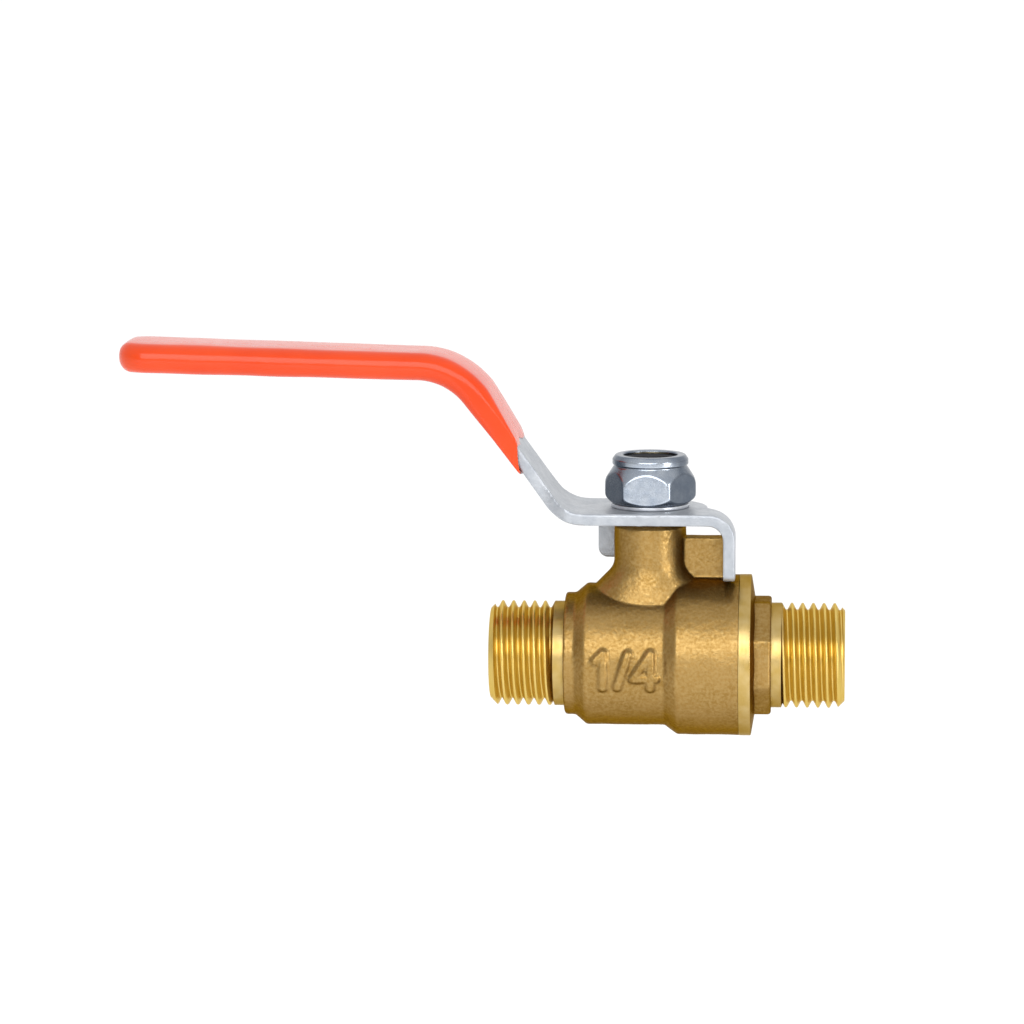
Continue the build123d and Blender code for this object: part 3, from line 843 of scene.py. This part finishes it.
DIP_FADE = 9.0                  # length over which the dip line's slant fades out along the arm
LIP_WIDTH, LIP_LENGTH = 0.10, 0.5   # how much the coat thins at the mouth, and over what length
INNER_GAP = 0.02                # between the coat and the lever inside it
OUTER_SPACING, INNER_SPACING = 0.45, 1.5   # of the rings along the arm
GRIP_WAVES, GRIP_RIPPLE = 0.18, 0.12   # waves per millimetre, and their depth


class GripLine:
    """The middle line of the arm from the sleeve's mouth, up the slope, round the knee to the tip."""

    def __init__(self):
        hub_middle = HUB_TOP - SHEET / 2
        self.mouth = Vector((SLEEVE_MOUTH, hub_middle + (SLOPE_TOE_X - SLEEVE_MOUTH) * tan(SLOPE)))
        self.knee = Vector((KNEE_X, hub_middle + (SLOPE_TOE_X - KNEE_X) * tan(SLOPE)))
        self.turn = SLOPE - RISE
        self.slope_run = (self.knee - self.mouth).length - KNEE_R * tan(self.turn / 2)
        self.arc_run = KNEE_R * self.turn
        self.grip_run = (KNEE_X - SLEEVE_TIP) / cos(RISE) - KNEE_R * tan(self.turn / 2)
        self.length = self.slope_run + self.arc_run + self.grip_run

    def at(self, run):
        """Point and direction of the line at a distance from the mouth, both in the X-Z plane."""
        if run < self.slope_run:
            angle, start, rest = SLOPE, self.mouth, run
        elif run < self.slope_run + self.arc_run:
            angle = SLOPE - (run - self.slope_run) / KNEE_R
            up = Vector((-cos(SLOPE), sin(SLOPE)))
            foot = self.mouth + up * self.slope_run
            centre = foot + Vector((-sin(SLOPE), -cos(SLOPE))) * KNEE_R
            start, rest = centre + Vector((sin(angle), cos(angle))) * KNEE_R, 0.0
        else:
            angle = RISE
            start = self.knee + Vector((-cos(RISE), sin(RISE))) * KNEE_R * tan(self.turn / 2)
            rest = run - self.slope_run - self.arc_run
        ahead = Vector((-cos(angle), sin(angle)))
        return start + ahead * rest, ahead


def ease_in(reach, radius):
    """How much a rounded end of this radius has narrowed, at a distance reach from the end."""
    if reach >= radius:
        return 0.0
    return radius - sqrt(max(radius**2 - (radius - reach) ** 2, 0.0))


def rounded_section(half_width, half_height, radius, crown, per_corner=8):
    """Points round a rectangle with rounded corners. Its sides swell by crown times their half length."""
    flat_x, flat_y = half_width - radius, half_height - radius
    points = []
    for quarter, (side_x, side_y) in enumerate(((1, 1), (-1, 1), (-1, -1), (1, -1))):
        for step in range(per_corner + 1):
            angle = pi / 2 * (quarter + step / per_corner)
            points.append((flat_x * side_x + radius * cos(angle), flat_y * side_y + radius * sin(angle)))
        # the crowned side that follows: level after an even corner, upright after an odd one
        for share in (0.25, 0.5, 0.75):
            if quarter % 2:
                swell = crown * flat_y * sin(pi * share)
                points.append((side_x * (half_width + swell), flat_y * side_y * (1 - 2 * share)))
            else:
                swell = crown * flat_x * sin(pi * share)
                points.append((flat_x * side_x * (1 - 2 * share), side_y * (half_height + swell)))
    return points


def along(stations, run):
    """A value that changes evenly between (run, value) stations."""
    places, values = zip(*stations)
    return float(np.interp(run, places, values))


def dip_line(across, up, run):
    """How far the mouth is drawn out along the arm: a level dip line that wanders a little."""
    fade = max(0.0, 1 - run / DIP_FADE)
    wander = 0.22 * sin(0.9 * across + 1.2) + 0.16 * sin(2.3 * up + 0.7 * across)
    return fade * fade * (DIP_TILT * up * tan(SLOPE) - DIP_REACH + wander)


def runs_to(end, corner_r, spacing, corner_steps):
    """Evenly spaced places along the arm, then closer ones round the corner at its end."""
    runs = list(np.arange(0.0, end - corner_r, spacing))
    for step in range(corner_steps + 1):
        runs.append(end - corner_r * (1 - sin(pi / 2 * step / corner_steps)))
    return runs


class GripSkin:
    """The points and faces of the sleeve, made ring by ring along the arm."""

    def __init__(self, line):
        self.line = line
        self.points = []
        self.faces = []

    def add_ring(self, run, section, sag=0.0):
        """Stand a section of (across, up) points on the line, and give their numbers."""
        middle, ahead = self.line.at(run)
        normal = Vector((-ahead.y, ahead.x))
        if normal.y < 0:
            normal.negate()
        first = len(self.points)
        for across, up in section:
            place = middle + normal * (up - sag) + ahead * dip_line(across, up, run)
            self.points.append((place.x, across, place.y))
        return range(first, len(self.points))

    def cover(self, rings):
        """Faces between each ring and the next."""
        for lower, upper in zip(rings, rings[1:]):
            for i in range(len(lower)):
                j = (i + 1) % len(lower)
                self.faces.append((lower[i], lower[j], upper[j], upper[i]))

    def cap(self, ring):
        """One face that closes the skin's end."""
        self.faces.append(tuple(ring))


def outer_rings(skin):
    """The coat's outside: thin at the mouth, plump on the grip, round at the tip."""
    line = skin.line
    knee_run = line.slope_run + line.arc_run / 2
    flat_run = line.slope_run + line.arc_run
    half_heights = ((0, MOUTH_HALF), (line.slope_run, SLOPE_HALF), (flat_run, KNEE_HALF),
                    (line.length, TIP_HALF))
    sags = ((0, 0), (line.slope_run, 0), (flat_run, KNEE_SAG), (line.length, 0))
    rings = []
    for run in runs_to(line.length, TIP_CORNER_R, OUTER_SPACING, 24):
        reach = line.length - run
        lip = LIP_WIDTH * max(0.0, 1 - run / LIP_LENGTH) ** 2
        width = MOUTH_HALF_WIDTH + (GRIP_HALF_WIDTH - MOUTH_HALF_WIDTH) * min(run / knee_run, 1.0)
        width -= ease_in(reach, TIP_CORNER_R) + lip
        height = along(half_heights, run) - ease_in(reach, TIP_EDGE_R) - lip
        share = MOUTH_ROUNDING + (GRIP_ROUNDING - MOUTH_ROUNDING) * min(run / knee_run, 1.0)
        section = rounded_section(width, height, min(share * height, 0.98 * width), CROWN)
        rings.append(skin.add_ring(run, section, along(sags, run)))
    return rings


def inner_rings(skin):
    """The coat's inside, which follows the lever's arm to its rounded end."""
    line = skin.line
    end = line.length - (LEVER_TIP - SLEEVE_TIP) + INNER_GAP
    blade_run = line.slope_run + line.arc_run + (KNEE_X - BLADE_X) - KNEE_R * tan(line.turn / 2)
    rings = []
    for run in runs_to(end, LEVER_CORNER_R, INNER_SPACING, 12):
        width = ARM_HALF_WIDTH + (BLADE_HALF_WIDTH - ARM_HALF_WIDTH) * min(run / blade_run, 1.0)
        width -= ease_in(end - run, LEVER_CORNER_R)
        section = rounded_section(width + INNER_GAP, SHEET / 2 + INNER_GAP, 0.2, 0.0)
        rings.append(skin.add_ring(run, section))
    return rings


def make_grip():
    """The dipped vinyl sleeve: an outer and an inner skin, joined round the mouth."""
    skin = GripSkin(GripLine())
    outer = outer_rings(skin)
    inner = inner_rings(skin)
    for rings in (outer, inner):
        skin.cover(rings)
        skin.cap(rings[-1])
    skin.cover([outer[0], inner[0]])
    grip = new_object("dipped_grip", skin.points, skin.faces)
    ripple(grip, GRIP_WAVES, GRIP_RIPPLE)
    return finish_piece(grip, "lever_assembly", [VINYL], "grip_sleeve")


# ---- nut, washer and insert ----------------------------------------------------------------------

NUT_FLATS = 10.0
NUT_TURN = radians(-3.5)
NUT_HEX_HEIGHT = 4.6
NUT_FOOT_R = 4.75               # of the round bearing face
NUT_SHOULDER_R = 4.62           # where the hexagon's dome meets the collar
NUT_COLLAR_R = 4.75
NUT_MOUTH_R = 3.4
NUT_RING_SPACING = 0.12
INSERT_OUTER_R = 4.1
INSERT_HEIGHT = 1.2
LIP = 0.4                       # from the collar's top down to the insert's pocket
WASHER_HOLE_R = 3.2


def make_nut():
    """Cold-formed locking nut: hexagon rounded over above, chamfered below, with a rolled collar."""
    hexagon = polygon_radii(NUT_FLATS, 6, NUT_TURN + pi / 6)
    corner_r = NUT_FLATS / 2 / cos(pi / 6)
    foot, top = WASHER_TOP, NUT_TOP
    shoulder = foot + NUT_HEX_HEIGHT
    outline = soften([
        (foot, STEM_BORE_R + 0.25, 0),
        (foot, NUT_FOOT_R, 0.15),
        (foot + 0.8, corner_r - 0.05, 0.9),
        (foot + 2.9, corner_r - 0.05, 2.2),
        (shoulder, NUT_SHOULDER_R, 0),
    ], 12)
    dense = []
    for (z0, r0), (z1, r1) in zip(outline, outline[1:]):
        parts = max(1, round(max(abs(z1 - z0), abs(r1 - r0)) / NUT_RING_SPACING))
        dense += [(z0 + (z1 - z0) * i / parts, r0 + (r1 - r0) * i / parts) for i in range(parts)]
    rings = []
    for z, radius in dense:
        rings.append((z, [soft_min(radius, flat, 0.12) for flat in hexagon]))
    collar = soften([
        (shoulder + 0.05, NUT_SHOULDER_R - 0.04, 0),
        (shoulder + 0.15, NUT_SHOULDER_R - 0.06, 0.08),
        (shoulder + 0.35, NUT_COLLAR_R, 0.2),
        (top - 0.55, NUT_COLLAR_R, 0.35),
        (top, NUT_COLLAR_R - 0.4, 0.3),
        (top, NUT_MOUTH_R + 0.12, 0.12),
        (top - 0.15, NUT_MOUTH_R, 0.05),
        (top - LIP, NUT_MOUTH_R, 0.05),
        (top - LIP, INSERT_OUTER_R, 0),
        (top - LIP - INSERT_HEIGHT, INSERT_OUTER_R, 0),
        (top - LIP - INSERT_HEIGHT, STEM_BORE_R, 0),
        (foot + 0.25, STEM_BORE_R, 0),
    ])
    for z, radius in collar:
        rings.append((z, [radius] * ROUND))
    nut = stack_rings("locking_nut", rings, along_z, closed=True)
    return finish_piece(nut, "lever_assembly", [NUT_ZINC], "lock_nut", crease=50)


def make_insert():
    """The ring that locks the nut, in its pocket under the collar's lip."""
    top = NUT_TOP - LIP - FIT_GAP
    foot = NUT_TOP - LIP - INSERT_HEIGHT + FIT_GAP
    ring = lathe("insert_ring", [
        (foot, STEM_BORE_R, 0),
        (foot, INSERT_OUTER_R - FIT_GAP, 0.1),
        (top, INSERT_OUTER_R - FIT_GAP, 0.1),
        (top, STEM_BORE_R + 0.3, 0.1),
        (top - 0.25, STEM_BORE_R, 0.1),
        (top - 0.6, STEM_BORE_R, 0),
    ], along_z)
    return finish_piece(ring, "lever_assembly", [INSERT], "lock_nut_insert")


def make_washer():
    """The small washer between the nut and the lever."""
    ring = lathe("plain_washer", [
        ((HUB_TOP + WASHER_TOP) / 2, WASHER_HOLE_R, 0),
        (HUB_TOP, WASHER_HOLE_R, 0.08),
        (HUB_TOP, WASHER_R, 0.2),
        (WASHER_TOP, WASHER_R, 0.12),
        (WASHER_TOP, WASHER_HOLE_R, 0.08),
    ], along_z)
    return finish_piece(ring, "lever_assembly", [WASHER_ZINC], "lever_washer")


# ---- ball ----------------------------------------------------------------------------------------


def make_ball():
    """The plated ball, with the flow bore and the slot that the stem turns it by."""
    steps = 40
    edge_r = 0.12               # of the bore's rounded mouths
    mouth = asin(FLOW_R / BALL_R)
    outline = [(0, FLOW_R, 0), (-BALL_R * cos(mouth), FLOW_R, edge_r)]
    for step in range(1, steps):
        angle = mouth + (pi - 2 * mouth) * step / steps
        outline.append((-BALL_R * cos(angle), BALL_R * sin(angle), 0))
    outline += [(BALL_R * cos(mouth), FLOW_R, edge_r), (1.0, FLOW_R, 0)]
    ball = lathe("plated_ball", outline)
    reach = BALL_R + 1
    slot = box("slot", (-SLOT_WIDTH / 2, -reach, SLOT_FLOOR), (SLOT_WIDTH / 2, reach, reach))
    combine(ball, slot, "DIFFERENCE")
    return finish_piece(ball, "ball", [PLATED], "ball")


# ---- build ---------------------------------------------------------------------------------------

make_body()
make_connector()
make_lever()
make_grip()
make_nut()
make_insert()
make_washer()
make_ball()

for node, material in (
    ("seat_inlet", SEAT),
    ("seat_outlet", SEAT),
    ("stem", STEM_BRASS),
    ("thrust_washer", SEAT),
    ("stem_o_ring_lower", RUBBER),
    ("stem_o_ring_upper", RUBBER),
):
    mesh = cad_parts[node].data
    mesh.materials.clear()
    mesh.materials.append(material)

# ---- stage, light and camera ---------------------------------------------------------------------

FLOOR_DEPTH = 150.0             # below the pipe axis
FLOOR_REACH = 10000.0
FRONT_GLOW, BACK_GLOW, OVERHEAD_GLOW = 0.34, 1.04, 0.45   # strength of the surroundings


def make_floor():
    """A pale round floor, a millimetre thick, well below the valve."""
    edge = [FLOOR_REACH] * 64
    underside = -FLOOR_DEPTH - 1
    rings = [(underside, [0.0]), (underside, edge), (-FLOOR_DEPTH, edge), (-FLOOR_DEPTH, [0.0])]
    floor = stack_rings("floor", rings, along_z, closed=False)
    floor.data.transform(Matrix.Scale(MM, 4))
    white = (1.0, 1.0, 1.0, 1.0)
    n = Nodes("pale_floor", Roughness=0.9, Emission_Color=white, Emission_Strength=0.08)
    n.colour(n.mix(n.noise(0.02), (0.94, 0.94, 0.94), (0.96, 0.96, 0.96)))
    floor.data.materials.append(n.material)


def area_light(name, azimuth, elevation, distance, width, height, power):
    """A soft box that faces the valve, placed by its direction from it. Sizes in millimetres."""
    data = bpy.data.lights.new(name, "AREA")
    data.shape = "RECTANGLE"
    data.size = width * MM
    data.size_y = height * MM
    data.energy = power
    lamp = bpy.data.objects.new(name, data)
    a, e = radians(azimuth), radians(elevation)
    back = Vector((sin(a) * cos(e), -cos(a) * cos(e), sin(e)))
    lamp.location = back * distance * MM
    lamp.rotation_mode = "QUATERNION"
    lamp.rotation_quaternion = (-back).to_track_quat("-Z", "Y")
    bpy.context.scene.collection.objects.link(lamp)
    return lamp


def make_world():
    """Pale surroundings, darkest in front of the valve, brightest behind and above it."""
    world = bpy.data.worlds.new("studio")
    world.use_nodes = True
    tree = world.node_tree
    place = tree.nodes.new("ShaderNodeTexCoord")
    tree.nodes["Background"].inputs["Color"].default_value = (1, 1, 1, 1)
    axes = tree.nodes.new("ShaderNodeSeparateXYZ")
    glow = tree.nodes.new("ShaderNodeMapRange")
    limits = {"From Min": -1.0, "From Max": 1.0, "To Min": FRONT_GLOW, "To Max": BACK_GLOW}
    for socket, number in limits.items():
        glow.inputs[socket].default_value = number
    overhead = tree.nodes.new("ShaderNodeMapRange")
    overhead.inputs["To Max"].default_value = OVERHEAD_GLOW
    both = tree.nodes.new("ShaderNodeMath")
    tree.links.new(place.outputs["Generated"], axes.inputs["Vector"])
    tree.links.new(axes.outputs["Y"], glow.inputs["Value"])
    tree.links.new(axes.outputs["Z"], overhead.inputs["Value"])
    tree.links.new(glow.outputs["Result"], both.inputs[0])
    tree.links.new(overhead.outputs["Result"], both.inputs[1])
    tree.links.new(both.outputs["Value"], tree.nodes["Background"].inputs["Strength"])
    bpy.context.scene.world = world


def make_camera():
    """A long lens, a little right of square and a little above the pipe."""
    azimuth, elevation, roll = radians(4.181), radians(8.629), radians(-0.2)
    distance, aim_right, aim_up = 551.3, -17.31, 17.87
    forward = Vector((-sin(azimuth) * cos(elevation), cos(azimuth) * cos(elevation), -sin(elevation)))
    right = Vector((cos(azimuth), sin(azimuth), 0))
    up = right.cross(forward)
    data = bpy.data.cameras.new("camera")
    data.sensor_width = 36
    data.lens = 154.16
    data.clip_start = 0.05
    data.clip_end = 20
    camera = bpy.data.objects.new("camera", data)
    camera.location = (right * aim_right + up * aim_up - forward * distance) * MM
    turned_right = right * cos(roll) + up * sin(roll)
    turned_up = up * cos(roll) - right * sin(roll)
    basis = Matrix((turned_right, turned_up, -forward)).transposed()
    camera.rotation_mode = "QUATERNION"
    camera.rotation_quaternion = basis.to_quaternion()
    bpy.context.scene.collection.objects.link(camera)
    bpy.context.scene.camera = camera


make_floor()
make_world()
make_camera()
area_light("front_key", azimuth=-6, elevation=23, distance=900, width=800, height=540, power=4.8)
area_light("right_strip", azimuth=55, elevation=10, distance=900, width=200, height=520, power=3.2)
bpy.context.scene.view_settings.view_transform = "Standard"
